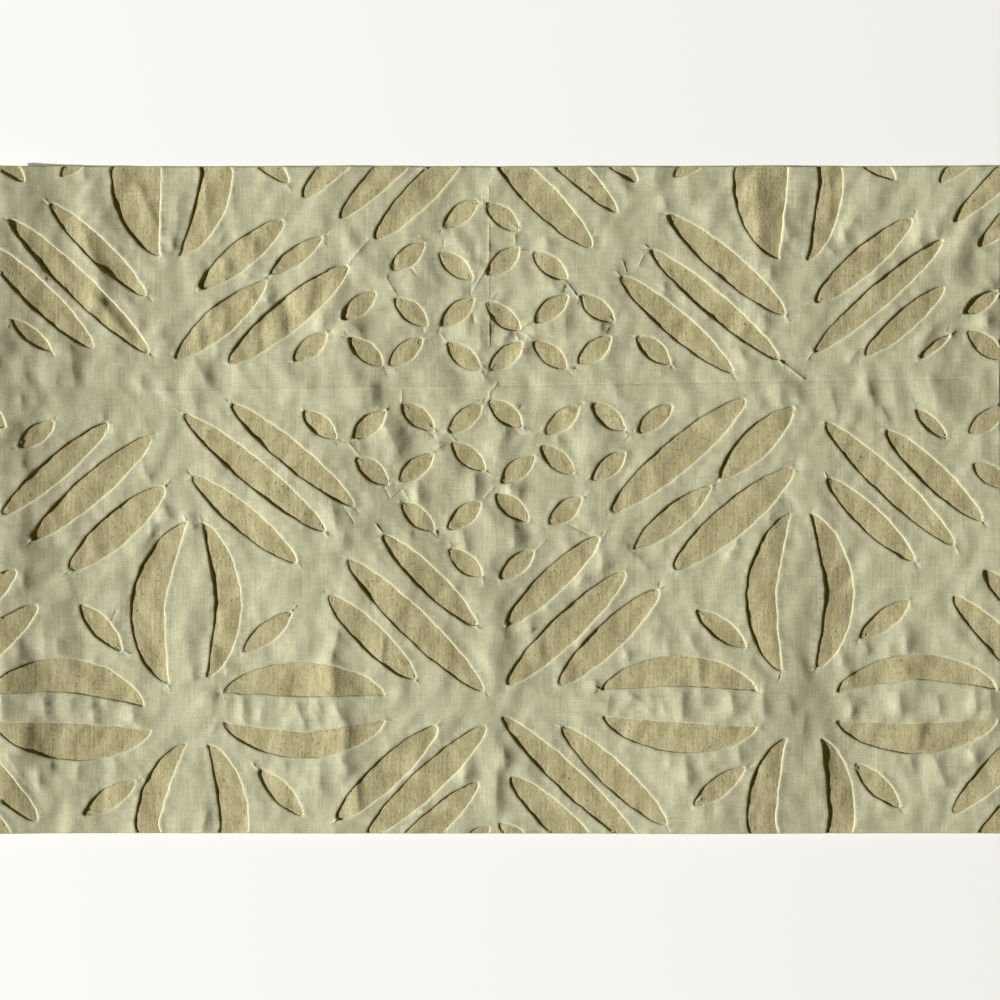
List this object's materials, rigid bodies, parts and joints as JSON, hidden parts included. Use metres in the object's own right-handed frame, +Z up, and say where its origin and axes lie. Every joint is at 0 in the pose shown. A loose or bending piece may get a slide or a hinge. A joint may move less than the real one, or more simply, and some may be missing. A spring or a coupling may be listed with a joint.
{
  "type": "applique bedsheet",
  "caption": "Cut length of a cutwork applique bedsheet: a cream top cloth pierced with leaf, bar and petal windows, sewn flat on a plain oatmeal base cloth.",
  "frame": {"origin": "middle of the underside, where the base cloth lies on the surface", "axes": "+X along the longer side of the cut length, +Y towards the far edge as the picture shows it, +Z up out of the cloth"},
  "size_m": [0.63, 0.42, 0.0046],
  "materials": {
    "base_cotton": "matt oatmeal handloom cotton with slubs along its upright yarns",
    "top_cotton": "matt cream plain-weave cotton, fine and slightly puckered"
  },
  "bodies": {
    "root": {"base_cloth": "base_cotton", "top_cloth": "top_cotton"}
  },
  "joints": []
}
